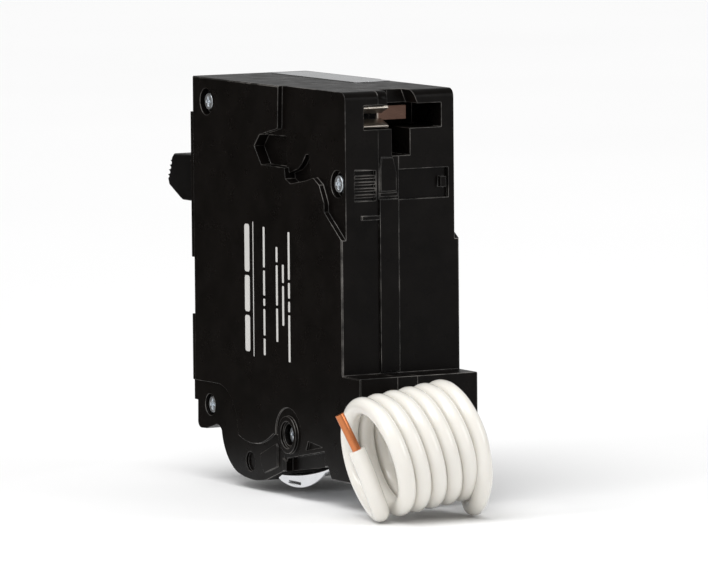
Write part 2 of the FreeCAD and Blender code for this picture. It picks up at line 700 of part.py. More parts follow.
def make_rail_clip():
    """The bright spring leaf under the load end that grips the panel's rail."""
    leaf = side_prism(("-clip_in", "clip_out"), [
        ("-7.2", "5.1"), ("-9.0", "4.6", ("-17.0", "3.0")), ("-26.0", "2.2"), ("-27.4", "1.5"),
        ("-27.1", "1.1"), ("-25.8", "1.7", ("-17.0", "2.5")), ("-8.8", "4.1"), ("-7.2", "4.6"),
    ])
    flange = side_prism(("clip_out - 0.6", "clip_out"), [
        ("-9.0", "4.6", ("-17.0", "3.0")), ("-26.0", "2.2"), ("-27.4", "1.5"),
        ("-26.4", "0.9", ("-19.5", "0.3")), ("-8.6", "4.2"),
    ])
    slit = box(("11", "13"), ("-23.4", "-18.4"), ("0.95", "1.35"))
    return keep(cut(fuse(leaf, flange), slit), "rail_clip")


def make_line_label():
    """The blank bright sticker on the line end."""
    sheet_z = ("case_height", "case_height + label_thick")
    return keep(box(("-11.2", "-3.4"), ("-57.6", "-24.0"), sheet_z), "line_label")


# ------------------------------------------------------------------------- neutral lead

EXIT_ROUTE = [
    (-7.0, 8.6, 12.0), (-6.9, 12.0, 11.2), (-6.2, 14.6, 7.6), (-5.0, 16.4, 2.8),
    (-3.4, 20.4, -0.6), (-1.8, 26.0, 0.8), (-0.9, 30.2, 6.2), (-0.4, 30.8, 11.6),
]
TAIL_ROUTE = [(16.1, 18.4, 0.3), (16.9, 22.8, -0.3), (19.2, 24.3, 3.4), (20.8, 23.6, 8.4), (22.2, 22.8, 12.2)]
BARE_ROUTE = [(22.2, 22.8, 12.2), (25.1, 21.5, 18.9)]
COIL_AXIS = (0.9684, -0.0848, -0.2345)


def rounded_path(points):
    """Straight runs joined by tangent arcs, each as large as its two runs allow."""
    corners = [FreeCAD.Vector(*point) for point in points]
    edges, radii, start = [], [], corners[0]
    for before, corner, after in zip(corners, corners[1:], corners[2:]):
        incoming, outgoing = corner - before, after - corner
        turn = incoming.getAngle(outgoing)
        setback = 0.45 * min(incoming.Length, outgoing.Length)
        radii.append(setback / math.tan(turn / 2))
        first = corner - incoming * (setback / incoming.Length)
        last = corner + outgoing * (setback / outgoing.Length)
        bisector = (last - corner).normalize() + (first - corner).normalize()
        bisector.normalize()
        depth = radii[-1] / math.cos(turn / 2) - radii[-1]
        edges.append(Part.LineSegment(start, first).toShape())
        edges.append(Part.Arc(first, corner + bisector * depth, last).toShape())
        start = last
    edges.append(Part.LineSegment(start, corners[-1]).toShape())
    return Part.Wire(edges), radii


def make_tube(points, radius, label):
    """A round solid along a rounded path, checked against its section times its length."""
    path, radii = rounded_path(points)
    ahead = FreeCAD.Vector(*points[1]) - FreeCAD.Vector(*points[0])
    ring = Part.Wire(Part.makeCircle(radius, FreeCAD.Vector(*points[0]), ahead))
    solid = path.makePipeShell([ring], True, True)
    expected = math.pi * radius ** 2 * path.Length
    print(label, "length", round(path.Length, 2), "volume ratio", round(solid.Volume / expected, 4),
          "radii", [round(r, 1) for r in radii])
    feature = doc.addObject("Part::Feature", "tube")
    feature.Shape = solid
    return keep(feature, label)


def make_coil():
    """The outer shape of the coiled turns: a leaning ring swept along the row of turns."""
    centre = FreeCAD.Vector(sheet.get("coil_x"), sheet.get("coil_y"), sheet.get("coil_z"))
    pitch = FreeCAD.Vector(sheet.get("pitch_x"), sheet.get("pitch_y"), sheet.get("pitch_z"))
    lead = sheet.get("lead_radius")
    axis = FreeCAD.Vector(*COIL_AXIS)
    start = centre - pitch * 0.25 - axis * lead
    span = pitch * sheet.get("coil_turns") + axis * (2 * lead)
    outer, inner = [
        Part.Face(Part.Wire(Part.makeCircle(sheet.get("coil_radius") + reach, start, axis))).extrude(span)
        for reach in (lead, -lead)
    ]
    feature = doc.addObject("Part::Feature", "coil")
    feature.Shape = outer.cut(inner)
    return keep(feature, "lead_coil")


def make_lead():
    radius = sheet.get("lead_radius")
    keep(cut(
        fuse(rod("y", "2.7", "foot_out - 1.9", "foot_out", "exit_x", "exit_z"),
             rod("y", "3.4", "foot_out", "foot_out + 0.9", "exit_x", "exit_z"),
             rod("y", "2.6", "foot_out + 0.8", "foot_out + 1.8", "exit_x", "exit_z")),
        rod("y", "lead_radius + 0.03", "foot_out - 3", "foot_out + 3", "exit_x", "exit_z"),
    ), "lead_bushing")
    keep(rod("y", "lead_radius", "-1.2", str(EXIT_ROUTE[0][1]), "exit_x", "exit_z"), "lead_root")
    make_tube(EXIT_ROUTE, radius, "lead_run")
    make_coil()
    make_tube(TAIL_ROUTE, radius, "lead_tail")
    make_tube(BARE_ROUTE, sheet.get("copper_radius"), "bare_copper")


# ------------------------------------------------------------------------------- build

make_cover()
make_middle()
make_base()
make_case_screws()
make_handle()
make_handle_pin()
make_contact_arm()
make_contacts()
make_line_strap()
make_line_jaw()
make_arc_plates()
make_cradle()
make_pins()
make_toggle_spring()
make_trip_group()
make_lug("load_x", "load_lug")
make_lug("-neutral_x", "neutral_lug")
make_terminal_screw("load_x", "load_screw")
make_terminal_screw("-neutral_x", "neutral_screw")
make_sensor()
make_solenoid()
make_electronics()
make_test_button()
make_rail_clip()
make_line_label()
make_lead()
doc.recompute()

for item in doc.Objects:
    if "Invalid" in item.State or "Error" in item.State:
        raise RuntimeError(f"{item.Name} ({item.Label}) did not compute: {item.State}")

for item in subparts:
    if item.Shape.isNull() or not item.Shape.isValid() or item.Shape.Volume <= 0:
        raise RuntimeError(f"{item.Label} is not a valid solid")
    item.Shape.exportStep(f"parts/{item.Label}.step")
    print(item.Label, len(item.Shape.Solids), round(item.Shape.Volume, 1))
print(len(subparts), "sub-parts")
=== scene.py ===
"""Looks of the ground-fault breaker: its cord, rounded solids, wound wire, print, finishes and studio."""
import json
import math

import bmesh
import bpy
from mathutils import Matrix, Vector


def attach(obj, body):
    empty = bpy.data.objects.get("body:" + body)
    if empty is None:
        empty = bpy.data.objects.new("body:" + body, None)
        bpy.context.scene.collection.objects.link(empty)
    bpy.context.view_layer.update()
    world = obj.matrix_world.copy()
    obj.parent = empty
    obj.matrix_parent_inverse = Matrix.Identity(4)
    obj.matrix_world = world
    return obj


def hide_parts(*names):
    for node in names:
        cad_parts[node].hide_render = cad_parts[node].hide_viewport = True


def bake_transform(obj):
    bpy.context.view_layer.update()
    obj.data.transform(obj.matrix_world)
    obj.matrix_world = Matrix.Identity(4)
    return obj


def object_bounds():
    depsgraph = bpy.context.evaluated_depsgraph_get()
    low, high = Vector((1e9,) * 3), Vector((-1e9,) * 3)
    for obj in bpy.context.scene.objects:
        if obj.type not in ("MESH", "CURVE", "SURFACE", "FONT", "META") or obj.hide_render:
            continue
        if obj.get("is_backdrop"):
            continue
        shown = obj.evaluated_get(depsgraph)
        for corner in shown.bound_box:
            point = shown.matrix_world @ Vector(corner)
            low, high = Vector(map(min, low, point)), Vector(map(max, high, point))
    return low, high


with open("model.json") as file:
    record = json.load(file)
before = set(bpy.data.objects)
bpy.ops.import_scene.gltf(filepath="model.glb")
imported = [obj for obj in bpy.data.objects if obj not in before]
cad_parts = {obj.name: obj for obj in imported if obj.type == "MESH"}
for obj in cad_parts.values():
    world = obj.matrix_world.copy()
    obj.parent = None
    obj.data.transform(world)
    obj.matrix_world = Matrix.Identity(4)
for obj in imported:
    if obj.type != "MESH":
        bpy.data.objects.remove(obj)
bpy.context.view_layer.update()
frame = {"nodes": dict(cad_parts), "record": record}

MM = 0.001
RECORD = frame["record"]
SLOT_OF = {entry["node"]: entry["material_slot"] for entry in RECORD["subparts"]}
BODY_OF = {node: body for body, nodes in RECORD["behaviour"]["bodies"].items() for node in nodes}


def at(*point):
    """A point given in millimetres, in metres."""
    return Vector(point) * MM


# --------------------------------------------------------------------------- camera

AZIMUTH = math.radians(151.449)
ELEVATION = math.radians(5.347)
ROLL = math.radians(-0.5)
DISTANCE = 1.4663
AIM_RIGHT = -8.86 * MM
AIM_UP = 39.87 * MM
LENS_LENGTH, SENSOR_WIDTH = 395.0, 36.0
CLIP_NEAR, CLIP_FAR = 0.05, 20.0


def make_camera():
    """The camera, placed and turned as the fit to the photograph says."""
    level = math.cos(ELEVATION)
    back = Vector((math.sin(AZIMUTH) * level, -math.cos(AZIMUTH) * level, math.sin(ELEVATION)))
    right = Vector((math.cos(AZIMUTH), math.sin(AZIMUTH), 0.0))
    up = back.cross(right)
    rolled_right = right * math.cos(ROLL) + up * math.sin(ROLL)
    rolled_up = up * math.cos(ROLL) - right * math.sin(ROLL)
    data = bpy.data.cameras.new("camera")
    data.lens = LENS_LENGTH
    data.sensor_width = SENSOR_WIDTH
    data.clip_start = CLIP_NEAR
    data.clip_end = CLIP_FAR
    camera = bpy.data.objects.new("camera", data)
    bpy.context.scene.collection.objects.link(camera)
    turn = Matrix((rolled_right, rolled_up, back)).transposed().to_4x4()
    target = right * AIM_RIGHT + Vector((0.0, 0.0, AIM_UP))
    camera.matrix_world = Matrix.Translation(target + back * DISTANCE) @ turn
    bpy.context.scene.camera = camera


make_camera()

# ------------------------------------------------------------------------ materials

# features per metre of the noise fields
PATCHES, SCUFF_AND_HIGHLIGHT_PATCHES, GLOSS, WAVES = 90.0, 210.0, 260.0, 140.0
METAL_PATCHES, STAINS = 160.0, 420.0
PLASTIC_BUMP, METAL_BUMP = 0.35, 0.4
COAT_ROUGHNESS = 0.12
SUBSURFACE_RADIUS = (0.002, 0.0016, 0.0012)
# greys of a mask
MASK_OFF, MASK_MOST, MASK_ON = (0.0, 0.0, 0.0), (0.8, 0.8, 0.8), (1.0, 1.0, 1.0)
BLUSH_FROM, BLUSH_TO = 1.7 * MM, 2.3 * MM


def node_tree(name):
    material = bpy.data.materials.new(name)
    material.use_nodes = True
    tree = material.node_tree
    shader = tree.nodes["Principled BSDF"]
    return material, tree, shader


def noise(tree, scale, detail=3.0, stretch=None, roughness=0.55):
    """Noise over the object's own coordinates, in features per metre."""
    place = tree.nodes.new("ShaderNodeTexCoord")
    source = place.outputs["Object"]
    if stretch:
        mapping = tree.nodes.new("ShaderNodeMapping")
        mapping.inputs["Scale"].default_value = stretch
        tree.links.new(source, mapping.inputs["Vector"])
        source = mapping.outputs["Vector"]
    field = tree.nodes.new("ShaderNodeTexNoise")
    field.inputs["Scale"].default_value = scale
    field.inputs["Detail"].default_value = detail
    field.inputs["Roughness"].default_value = roughness
    tree.links.new(source, field.inputs["Vector"])
    return field.outputs["Fac"]


def ramp(tree, factor, stops):
    """A factor turned into colours at the given places."""
    node = tree.nodes.new("ShaderNodeValToRGB")
    while len(node.color_ramp.elements) < len(stops):
        node.color_ramp.elements.new(0.5)
    for element, (place, colour) in zip(node.color_ramp.elements, stops):
        element.position = place
        element.color = (*colour, 1.0)
    tree.links.new(factor, node.inputs["Fac"])
    return node.outputs["Color"]


def span(tree, factor, low, high, start=0.3, end=0.7):
    """A factor from start to end, turned into a value from low to high."""
    node = tree.nodes.new("ShaderNodeMapRange")
    node.inputs["From Min"].default_value = start
    node.inputs["From Max"].default_value = end
    node.inputs["To Min"].default_value = low
    node.inputs["To Max"].default_value = high
    tree.links.new(factor, node.inputs["Value"])
    return node.outputs["Result"]


def bump(tree, shader, heights, strength, depth):
    """Heights, one or more, pressed into the surface to a depth in metres."""
    normal = None
    for height in heights:
        node = tree.nodes.new("ShaderNodeBump")
        node.inputs["Strength"].default_value = strength
        node.inputs["Distance"].default_value = depth
        tree.links.new(height, node.inputs["Height"])
        if normal:
            tree.links.new(normal, node.inputs["Normal"])
        normal = node.outputs["Normal"]
    tree.links.new(normal, shader.inputs["Normal"])


def mixed(tree, factor, base, colour):
    """A base with one colour laid over it where the factor is white."""
    mix = tree.nodes.new("ShaderNodeMixRGB")
    mix.inputs["Color2"].default_value = (*colour, 1.0)
    tree.links.new(factor, mix.inputs["Fac"])
    tree.links.new(base, mix.inputs["Color1"])
    return mix.outputs["Color"]


def shades(colour, spread):
    """The colour made darker and lighter by the spread."""
    factors = (1 - spread, 1 + spread)
    return [tuple(max(0.0, min(1.0, channel * factor)) for channel in colour) for factor in factors]


def plastic(name, colour, rough=(0.30, 0.42), spread=0.12, grain=2600.0, depth=0.00002, coat=0.0, scuff_and_highlight=None,
            subsurface=0.0, specular=0.5):
    """Moulded plastic: fine grain, patchy gloss and, where asked, a second colour in noise patches: a rubbed
    tone on the body plastics, a painted highlight on the edge materials.
    """
    material, tree, shader = node_tree(name)
    patches = noise(tree, PATCHES, 4.0)
    low, high = shades(colour, spread)
    base = ramp(tree, patches, [(0.35, low), (0.65, high)])
    # on the edge materials this mix paints the pale highlight stretches; on the body plastics it is a rubbed
    # tone
    if scuff_and_highlight:
        scuff_and_highlight_mask = ramp(tree, noise(tree, SCUFF_AND_HIGHLIGHT_PATCHES, 5.0), [(0.45, MASK_OFF), (0.68, MASK_ON)])
        base = mixed(tree, scuff_and_highlight_mask, base, scuff_and_highlight)
    tree.links.new(base, shader.inputs["Base Color"])
    tree.links.new(span(tree, noise(tree, GLOSS, 5.0), *rough), shader.inputs["Roughness"])
    bump(tree, shader, [noise(tree, grain, 4.0), noise(tree, WAVES, 2.0)], PLASTIC_BUMP, depth)
    shader.inputs["Specular IOR Level"].default_value = specular
    shader.inputs["Coat Weight"].default_value = coat
    shader.inputs["Coat Roughness"].default_value = COAT_ROUGHNESS
    shader.inputs["Subsurface Weight"].default_value = subsurface
    shader.inputs["Subsurface Radius"].default_value = SUBSURFACE_RADIUS
    return material


def metal(name, colour, rough=(0.22, 0.38), spread=0.08, brushed=(1.0, 1.0, 14.0), fine=900.0, depth=0.000012,
          stain=None, blush=None):
    """Drawn or plated metal: brushed one way and patchy, and where asked stained, or redder at low X."""
    material, tree, shader = node_tree(name)
    low, high = shades(colour, spread)
    base = ramp(tree, noise(tree, METAL_PATCHES, 4.0), [(0.3, low), (0.7, high)])
    if stain:
        mask = ramp(tree, noise(tree, STAINS, 6.0), [(0.52, MASK_OFF), (0.72, MASK_MOST)])
        base = mixed(tree, mask, base, stain)
    if blush:
        place = tree.nodes.new("ShaderNodeTexCoord")
        axes = tree.nodes.new("ShaderNodeSeparateXYZ")
        tree.links.new(place.outputs["Object"], axes.inputs["Vector"])
        side = span(tree, axes.outputs["X"], 1.0, 0.0, BLUSH_FROM, BLUSH_TO)
        base = mixed(tree, side, base, blush)
    tree.links.new(base, shader.inputs["Base Color"])
    lines = noise(tree, fine, 3.0, stretch=brushed)
    tree.links.new(span(tree, lines, *rough), shader.inputs["Roughness"])
    bump(tree, shader, [lines], METAL_BUMP, depth)
    shader.inputs["Metallic"].default_value = 1.0
    return material


BLACK = (0.0030, 0.0024, 0.0021)
# the second, paler finish of these two slots: a highlight painted on the rounded edges, bright in stretches
# where the noise is high
EDGE_HIGHLIGHTS = {
    "phenolic": plastic("phenolic_edge_highlight", (0.012, 0.011, 0.010), rough=(0.22, 0.36), spread=0.3,
                        scuff_and_highlight=(0.15, 0.14, 0.13), specular=0.35),
    "handle_plastic": plastic("handle_plastic_edge_highlight", (0.012, 0.012, 0.012), rough=(0.3, 0.42), spread=0.2,
                              scuff_and_highlight=(0.05, 0.05, 0.052), specular=0.35),
}
MATERIALS = {
    "phenolic": plastic("phenolic", BLACK, rough=(0.24, 0.38), spread=0.3, scuff_and_highlight=(0.0046, 0.0038, 0.0034),
                        specular=0.06),
    "handle_plastic": plastic("handle_plastic", (0.0036, 0.0034, 0.0034), rough=(0.30, 0.44), spread=0.2,
                              grain=3400.0, scuff_and_highlight=(0.0052, 0.005, 0.005), specular=0.06),
    "button_plastic": plastic("button_plastic", (0.72, 0.58, 0.10), rough=(0.26, 0.36), spread=0.05,
                              coat=0.3),
    "bushing_plastic": plastic("bushing_plastic", (0.014, 0.014, 0.015), rough=(0.4, 0.55), spread=0.2),
    "white_vinyl": plastic("white_vinyl", (0.79, 0.765, 0.71), rough=(0.18, 0.25), spread=0.014, grain=3800.0,
                           depth=0.000002, coat=0.5, subsurface=0.06),
    "bobbin_nylon": plastic("bobbin_nylon", (0.70, 0.67, 0.58), rough=(0.35, 0.5), spread=0.05,
                            subsurface=0.2),
    "board_laminate": plastic("board_laminate", (0.02, 0.13, 0.05), rough=(0.28, 0.45), spread=0.18,
                              grain=2200.0),
    "capacitor_film": plastic("capacitor_film", (0.27, 0.035, 0.02), rough=(0.15, 0.25), spread=0.08,
                              coat=0.5),
    "varistor_coat": plastic("varistor_coat", (0.02, 0.06, 0.24), rough=(0.35, 0.5), spread=0.12),
    "chip_epoxy": plastic("chip_epoxy", (0.012, 0.012, 0.012), rough=(0.5, 0.65), spread=0.2, grain=5200.0),
    "resistor_coat": plastic("resistor_coat", (0.55, 0.38, 0.18), rough=(0.2, 0.3), spread=0.06, coat=0.4),
    "ferrite": plastic("ferrite", (0.035, 0.035, 0.038), rough=(0.5, 0.7), spread=0.2, grain=4200.0),
    "coil_tape": plastic("coil_tape", (0.62, 0.36, 0.05), rough=(0.22, 0.35), spread=0.08, coat=0.3),
    "zinc_steel": metal("zinc_steel", (0.66, 0.70, 0.74), rough=(0.30, 0.46), stain=(0.40, 0.41, 0.42)),
    "spring_steel": metal("spring_steel", (0.74, 0.75, 0.77), rough=(0.06, 0.16), brushed=(1.0, 9.0, 9.0)),
    "plain_steel": metal("plain_steel", (0.50, 0.50, 0.52), rough=(0.25, 0.42)),
    "copper": metal("copper", (0.60, 0.21, 0.085), rough=(0.26, 0.38), brushed=(6.0, 6.0, 6.0),
                    depth=0.000003, stain=(0.46, 0.14, 0.05)),
    "tinned_copper": metal("tinned_copper", (0.46, 0.42, 0.37), rough=(0.26, 0.42), stain=(0.30, 0.26, 0.22),
                           blush=(0.085, 0.050, 0.038)),
    "silver_tip": metal("silver_tip", (0.82, 0.80, 0.77), rough=(0.25, 0.4), brushed=(1.0, 1.0, 1.0)),
    "aluminium": metal("aluminium", (0.74, 0.75, 0.77), rough=(0.28, 0.42), brushed=(1.0, 1.0, 18.0)),
    "bimetal_strip": metal("bimetal_strip", (0.56, 0.53, 0.49), rough=(0.25, 0.4)),
    "enamel_wire": metal("enamel_wire", (0.50, 0.16, 0.05), rough=(0.16, 0.28), spread=0.12),
    "label_foil": metal("label_foil", (0.80, 0.81, 0.82), rough=(0.24, 0.40), spread=0.05,
                        brushed=(10.0, 1.0, 1.0), fine=300.0, depth=0.00003),
}
for node, solid in frame["nodes"].items():
    solid.data.materials.clear()
    solid.data.materials.append(MATERIALS[SLOT_OF[node]])

# --------------------------------------------------------------------- piece helpers

MERGE_WITHIN = 0.000002
FLAT_WITHIN = math.radians(0.6)
SHARP_ANGLE = math.radians(32.0)


def settle(piece, slot, body="case", nodes=()):
    """Gives a finished piece its material and its body, and hides the CAD nodes that it stands for."""
    if not piece.data.materials:
        piece.data.materials.append(MATERIALS[slot])
    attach(piece, body)
    if nodes:
        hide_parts(*nodes)
    return piece


def mesh_piece(name, mesh):
    """An object in the scene that shows a mesh."""
    piece = bpy.data.objects.new(name, mesh)
    bpy.context.scene.collection.objects.link(piece)
    return piece


def rounded_node(node, width, segments):
    """Stands a copy in for a CAD node, with its flat faces merged and its sharp edges rounded off."""
    mesh = frame["nodes"][node].data.copy()
    work = bmesh.new()
    work.from_mesh(mesh)
    bmesh.ops.remove_doubles(work, verts=work.verts, dist=MERGE_WITHIN)
    bmesh.ops.dissolve_limit(work, angle_limit=FLAT_WITHIN, verts=work.verts, edges=work.edges)
    work.to_mesh(mesh)
    work.free()
    piece = mesh_piece(f"{node}_smooth", mesh)
    edge = piece.modifiers.new("edge", "BEVEL")
    edge.width = width * MM
    edge.segments = segments
    edge.limit_method = "ANGLE"
    edge.angle_limit = SHARP_ANGLE
    edge.use_clamp_overlap = False
    edge.miter_outer = "MITER_ARC"
    edge.harden_normals = False
    mesh.materials.clear()
    mesh.materials.append(MATERIALS[SLOT_OF[node]])
    # the rounded edge faces get the second material, a painted highlight
    if SLOT_OF[node] in EDGE_HIGHLIGHTS:
        mesh.materials.append(EDGE_HIGHLIGHTS[SLOT_OF[node]])
        edge.material = 1
    mesh.shade_smooth()
    even = piece.modifiers.new("even", "WEIGHTED_NORMAL")
    even.keep_sharp = True
    settle(piece, SLOT_OF[node], BODY_OF[node], [node])


# ------------------------------------------------------------------------------ cord

LEAD_RADIUS = 1.67
COPPER_RADIUS = 0.85
EXIT_ROUTE = [
    (-7.0, 8.6, 12.0), (-6.9, 12.0, 11.2), (-6.2, 14.6, 7.6), (-5.0, 16.4, 2.8),
    (-3.4, 20.4, -0.6), (-1.8, 26.0, 0.8), (-0.9, 30.2, 6.2),
]
TAIL_ROUTE = [(16.1, 18.4, 0.3), (16.9, 22.8, -0.3), (19.2, 24.3, 3.4), (20.8, 23.6, 8.4), (22.2, 22.8, 12.2)]
BARE_ROUTE = [(22.2, 22.8, 12.2), (23.65, 22.15, 15.55), (25.1, 21.5, 18.9)]
COIL_CENTRE = Vector((-0.92, 20.0, 12.66))
COIL_AXIS = Vector((0.9684, -0.0848, -0.2345)).normalized()
COIL_STEP = Vector((3.368, 0.116, -0.449))
COIL_RADIUS = 10.0
COIL_DRAW_IN = 0.981     # the spline's radius, as a share of its control points'
POINTS_PER_TURN = 16
COIL_POINTS = 91


def coil_points():
    """Control points of the wound turns, set out a little so that the line runs at the true radius."""
    reach = COIL_RADIUS / COIL_DRAW_IN
    across = (Vector((0.0, 1.0, 0.0)) - COIL_AXIS * COIL_AXIS.y).normalized()
    upward = COIL_AXIS.cross(across)
    points = []
    for index in range(COIL_POINTS):
        turn = index / POINTS_PER_TURN
        angle = turn * math.tau
        spoke = across * math.cos(angle) + upward * math.sin(angle)
        points.append(COIL_CENTRE + spoke * reach + COIL_STEP * turn)
    return points


def strand(name, points, radius, order=3, resolution=6):
    """A round line along control points given in millimetres."""
    data = bpy.data.curves.new(name, "CURVE")
    data.dimensions = "3D"
    data.bevel_depth = radius * MM
    data.bevel_resolution = 6
    data.use_fill_caps = True
    data.resolution_u = resolution
    spline = data.splines.new("NURBS")
    spline.points.add(len(points) - 1)
    for place, point in zip(spline.points, points):
        place.co = (*at(*point), 1.0)
    spline.order_u = order
    spline.use_endpoint_u = True
    spline.use_smooth = True
    piece = bpy.data.objects.new(name, data)
    bpy.context.scene.collection.objects.link(piece)
    return piece


def line_length(piece):
    """The length of a strand's centre line, in metres."""
    data = piece.data.copy()
    data.bevel_depth = 0.0
    bare = bpy.data.objects.new("measure", data)
    mesh = bpy.data.meshes.new_from_object(bare)
    ends = [[mesh.vertices[index].co for index in edge.vertices] for edge in mesh.edges]
    total = sum((first - second).length for first, second in ends)
    bpy.data.objects.remove(bare)
    return total


lead = strand("neutral_lead", [*EXIT_ROUTE, *coil_points(), *TAIL_ROUTE], LEAD_RADIUS, resolution=8)
settle(lead, "white_vinyl", nodes=["lead_run", "lead_coil", "lead_tail"])
LEAD_LENGTH = line_length(lead)

tip = strand("copper_tip", BARE_ROUTE, COPPER_RADIUS, resolution=4)
settle(tip, "copper", nodes=["bare_copper"])

# -------------------------------------------------------------------- rounded solids

ROUNDINGS = [
    # width in millimetres, segments, nodes
    (0.09, 2, ("cover_shell", "middle_shell", "base_shell")),
    (0.32, 3, ("handle",)),
    (0.30, 3, ("test_button",)),
    (0.25, 3, ("lead_bushing",)),
    (0.12, 2, ("rail_clip",)),
    (0.04, 1, ("line_label",)),
    (0.12, 2, ("line_jaw",)),
    (0.14, 2, ("case_screws", "load_screw", "neutral_screw", "load_lug", "neutral_lug")),
    (0.07, 2, ("contact_arm", "cradle", "trip_lever", "magnet_yoke", "armature", "solenoid_frame",
               "arc_plates", "line_strap", "load_strap", "neutral_strap", "control_chip", "thyristor",
               "circuit_board", "plunger")),
    (0.45, 3, ("capacitor",)),
    (0.8, 3, ("varistor",)),
    (0.3, 3, ("resistors",)),
    (0.2, 3, ("moving_contact", "fixed_contact")),
    (0.1, 3, ("solenoid_bobbin",)),
    (0.2, 3, ("flexible_braid",)),
    (0.1, 3, ("bimetal",)),
    (0.12, 3, ("sensor_core",)),
]
for width, segments, nodes in ROUNDINGS:
    for node in nodes:
        rounded_node(node, width, segments)

# --------------------------------------------------------------- springs and windings

SPRING_WIRE, SENSOR_WIRE, SOLENOID_WIRE = 0.2, 0.12, 0.17
END_SHARE = 0.08         # the share of a spring's height that each close end turn takes
TOGGLE_AXIS = (2.95, -34.6)
SOLENOID_AXIS = (-4.4, -30.0)
BUTTON_X, BUTTON_Z = -6.4, 55.5
PLUNGER_SPRING_LOW, PLUNGER_SPRING_HIGH = 47.2, 49.9
BUTTON_SPRING_SEAT, BUTTON_SPRING_FREE = -52.5, -57.1
RING_CENTRE = (-5.2, -27.0, 19.0)
RING_TURNS = 42
RING_SHARE = 0.94        # the share of the ring that the winding covers
RING_SECTION = [
    # radius and height of one turn's corners
    (2.55, -2.6), (2.45, 0.0), (2.55, 2.6), (3.6, 2.8), (4.65, 2.6), (4.75, 0.0), (4.65, -2.6), (3.6, -2.8),
]


def wound(name, slot, points, wire, body, nodes, blend=None):
    """Wire wound along points, as a mesh; when blend is given, the piece is left unattached with its
    transform applied, and what blend names is not used.
    """
    line = strand(name + "_line", points, wire, resolution=3)
    mesh = bpy.data.meshes.new_from_object(line)
    bpy.data.objects.remove(line)
    piece = mesh_piece(name, mesh)
    piece.data.materials.clear()
    piece.data.materials.append(MATERIALS[slot])
    if not blend:
        return settle(piece, slot, body, nodes)
    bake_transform(piece)
    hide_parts(*nodes)
    return piece


def helix(centre, axis, low, high, radius, turns, closed=1.0, per_turn=12):
    """Points of a spring along Y or Z, with close turns at both ends."""
    points = []
    total = int(turns * per_turn)
    for index in range(total + 1):
        turn = index / per_turn
        if turn < closed:
            along = END_SHARE * turn / closed
        elif turn > turns - closed:
            along = 1.0 - END_SHARE * (turns - turn) / closed
        else:
            along = END_SHARE + (1.0 - 2 * END_SHARE) * (turn - closed) / (turns - 2 * closed)
        place = low + (high - low) * along
        a, b = radius * math.cos(turn * math.tau), radius * math.sin(turn * math.tau)
        if axis == "z":
            points.append((centre[0] + a, centre[1] + b, place))
        else:
            points.append((centre[0] + a, place, centre[1] + b))
    return points


def ring_winding():
    """Wire wound round the sensor's ring core."""
    x, y, z = RING_CENTRE
    points = []
    per_turn = len(RING_SECTION)
    total = RING_TURNS * per_turn
    for index in range(total):
        angle = math.tau * RING_SHARE * index / total
        radius, height = RING_SECTION[index % per_turn]
        points.append((x + radius * math.cos(angle), y + radius * math.sin(angle), z + height))
    return points


wound("toggle_spring_wire", "spring_steel", helix(TOGGLE_AXIS, "z", 50.2, 56.8, 1.05, 9), SPRING_WIRE,
      "contact_arm", ["toggle_spring"])
wound("plunger_spring_wire", "spring_steel",
      helix(SOLENOID_AXIS, "z", PLUNGER_SPRING_LOW, PLUNGER_SPRING_HIGH, 1.82, 5), SPRING_WIRE,
      "case", ["plunger_spring"],
      ("plunger", (*SOLENOID_AXIS, PLUNGER_SPRING_LOW), (*SOLENOID_AXIS, PLUNGER_SPRING_HIGH)))
wound("button_spring_wire", "spring_steel",
      helix((BUTTON_X, BUTTON_Z), "y", BUTTON_SPRING_SEAT, BUTTON_SPRING_FREE, 1.62, 6), SPRING_WIRE,
      "case", ["button_spring"],
      ("test_button", (BUTTON_X, BUTTON_SPRING_SEAT, BUTTON_Z), (BUTTON_X, BUTTON_SPRING_FREE, BUTTON_Z)))
wound("sensor_wire", "enamel_wire", ring_winding(), SENSOR_WIRE, "case", ["sensor_winding"])
wound("solenoid_wire", "enamel_wire", helix(SOLENOID_AXIS, "z", 37.15, 44.85, 3.0, 22, closed=0.5),
      SOLENOID_WIRE, "case", ["solenoid_winding"])

# ------------------------------------------------------------------------------ print

INK_FACE = 12.715        # X of the ink's outer face, in millimetres
INK_THICK = 0.00003
CORNER_SHARE = 0.55      # a bar's corner radius, as a share of its shorter half
CORNER_POINTS = 5
CORNER_STEP = 22.5
PRINT = [
    # centre Y, height in Y, then the runs in Z
    (-38.1, 2.0, [(24.9, 31.9), (32.6, 39.6), (40.3, 49.5)]),
    (-35.6, 0.28, [(24.1, 50.1)]),
    (-31.2, 0.75, [(24.7, 27.9), (28.5, 33.6), (34.2, 35.6), (36.2, 41.0), (41.6, 49.4)]),
    (-26.0, 0.75, [(27.7, 34.1), (34.7, 42.4), (43.0, 45.9)]),
    (-23.5, 0.75, [(31.0, 38.6), (39.2, 42.7)]),
    (-21.1, 0.75, [(24.2, 33.2), (33.8, 35.8), (36.4, 39.4), (40.0, 49.1)]),
]


